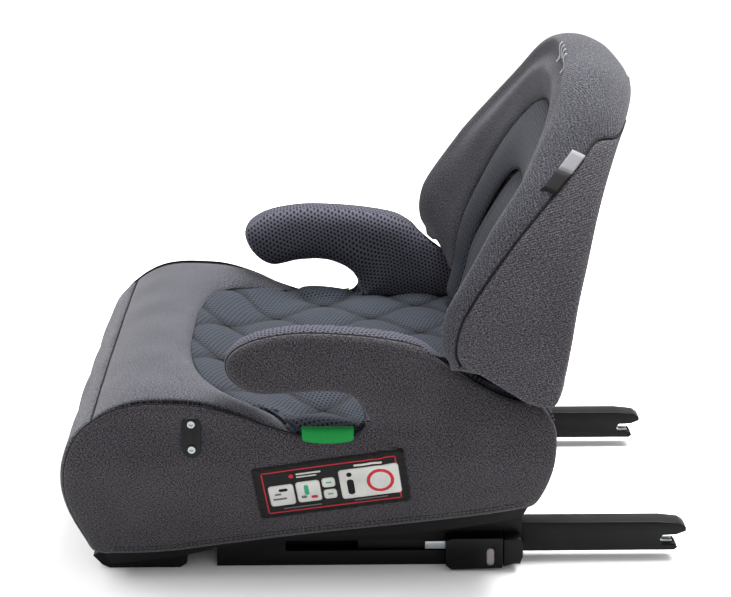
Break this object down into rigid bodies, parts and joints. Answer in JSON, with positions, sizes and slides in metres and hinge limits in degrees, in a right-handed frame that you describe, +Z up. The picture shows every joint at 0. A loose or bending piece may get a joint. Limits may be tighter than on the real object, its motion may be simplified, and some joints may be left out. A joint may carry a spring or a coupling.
{
  "type": "booster seat",
  "caption": "Child's booster seat: padded base with armrests, a low winged backrest that reclines, and sliding rear anchor arms with hooks.",
  "frame": {"origin": "on the floor, at the bottom centre of the object's box at rest, with the anchor arms pulled out", "axes": "+X the child's left, -Y the seat's front edge, +Z up"},
  "size_m": [0.46, 0.556, 0.4518],
  "materials": {
    "shell_plastic": "injection-moulded polypropylene, fine grain",
    "foam": "open-cell foam",
    "quilt_mesh": "quilted air-mesh, slate blue with dark holes",
    "light_melange": "woven melange, mid grey",
    "dark_melange": "woven melange, dark warm grey",
    "armrest_mesh": "air-mesh with open holes",
    "insert_mesh": "ribbed air-mesh, slate blue",
    "inner_plastic": "moulded polypropylene",
    "green_webbing": "dense green woven guide",
    "label_textile": null,
    "tag_textile": "folded woven tag, plain",
    "socket_plastic": "moulded plate, satin",
    "screw_steel": "zinc-plated steel",
    "rail_plastic": "glass-filled polyamide, satin",
    "arm_plastic": "moulded sheath, satin",
    "housing_plastic": "moulded ABS, semi-gloss",
    "zinc_steel": "zinc-plated pressed steel",
    "window_plastic": "clear polycarbonate",
    "red_plastic": "indicator strip, red with a green end"
  },
  "bodies": {
    "base": {"base_shell": "shell_plastic", "seat_foam": "foam", "quilted_pad": "quilt_mesh", "nose_cover": "light_melange", "rear_cover": "dark_melange", "label_patch": "label_textile", "rail_screws": "screw_steel", "left_side_cover": "dark_melange", "right_side_cover": "dark_melange", "left_armrest_core": "inner_plastic", "right_armrest_core": "inner_plastic", "left_armrest_pad": "armrest_mesh", "right_armrest_pad": "armrest_mesh", "left_belt_tab": "green_webbing", "right_belt_tab": "green_webbing", "left_socket_plate": "socket_plastic", "right_socket_plate": "socket_plastic", "left_plate_screws": "screw_steel", "right_plate_screws": "screw_steel", "left_rail": "rail_plastic", "right_rail": "rail_plastic", "left_hinge_bracket": "zinc_steel", "right_hinge_bracket": "zinc_steel", "left_hinge_pin": "zinc_steel", "right_hinge_pin": "zinc_steel"},
    "left_arm": {"left_sheath": "arm_plastic", "left_steel_core": "zinc_steel", "left_hook_pin": "zinc_steel", "left_slot_strap": "zinc_steel", "left_latch_housing": "housing_plastic", "left_window_lens": "window_plastic"},
    "left_hook": {"left_hook": "zinc_steel"},
    "left_latch": {"left_release_button": "housing_plastic", "left_pull_rod": "zinc_steel", "left_indicator_flag": "red_plastic"},
    "right_arm": {"right_sheath": "arm_plastic", "right_steel_core": "zinc_steel", "right_hook_pin": "zinc_steel", "right_slot_strap": "zinc_steel", "right_latch_housing": "housing_plastic", "right_window_lens": "window_plastic"},
    "right_hook": {"right_hook": "zinc_steel"},
    "right_latch": {"right_release_button": "housing_plastic", "right_pull_rod": "zinc_steel", "right_indicator_flag": "red_plastic"},
    "backrest": {"backrest_board": "inner_plastic", "backrest_foam": "foam", "backrest_bolster": "light_melange", "outer_insert": "insert_mesh", "inner_insert": "insert_mesh", "left_wing_panel": "dark_melange", "right_wing_panel": "dark_melange", "backrest_rear_cover": "dark_melange", "seam_tag": "tag_textile", "left_back_bracket": "zinc_steel", "right_back_bracket": "zinc_steel"}
  },
  "joints": [
    {"name": "backrest_recline", "type": "hinge", "parent": "base", "child": "backrest", "pos_m": [0, 0.13, 0.18], "axis": [-1, 0, 0], "range_deg": [0, 20]},
    {"name": "left_arm_slide", "type": "slide", "parent": "base", "child": "left_arm", "axis": [0, 1, 0], "range_m": [-0.12, 0]},
    {"name": "left_hook_turn", "type": "hinge", "parent": "left_arm", "child": "left_hook", "pos_m": [0.14, 0.225, 0.028], "axis": [-1, 0, 0], "range_deg": [0, 7]},
    {"name": "left_latch_slide", "type": "slide", "parent": "left_arm", "child": "left_latch", "axis": [0, 1, 0], "range_m": [0, 0.008]},
    {"name": "right_arm_slide", "type": "slide", "parent": "base", "child": "right_arm", "axis": [0, 1, 0], "range_m": [-0.12, 0]},
    {"name": "right_hook_turn", "type": "hinge", "parent": "right_arm", "child": "right_hook", "pos_m": [-0.14, 0.225, 0.028], "axis": [-1, 0, 0], "range_deg": [0, 7]},
    {"name": "right_latch_slide", "type": "slide", "parent": "right_arm", "child": "right_latch", "axis": [0, 1, 0], "range_m": [0, 0.008]}
  ],
  "couplings": [
    {"joint": "left_latch_slide", "follows": "left_hook_turn", "m_per_rad": 0.0654},
    {"joint": "right_latch_slide", "follows": "right_hook_turn", "m_per_rad": 0.0654}
  ]
}
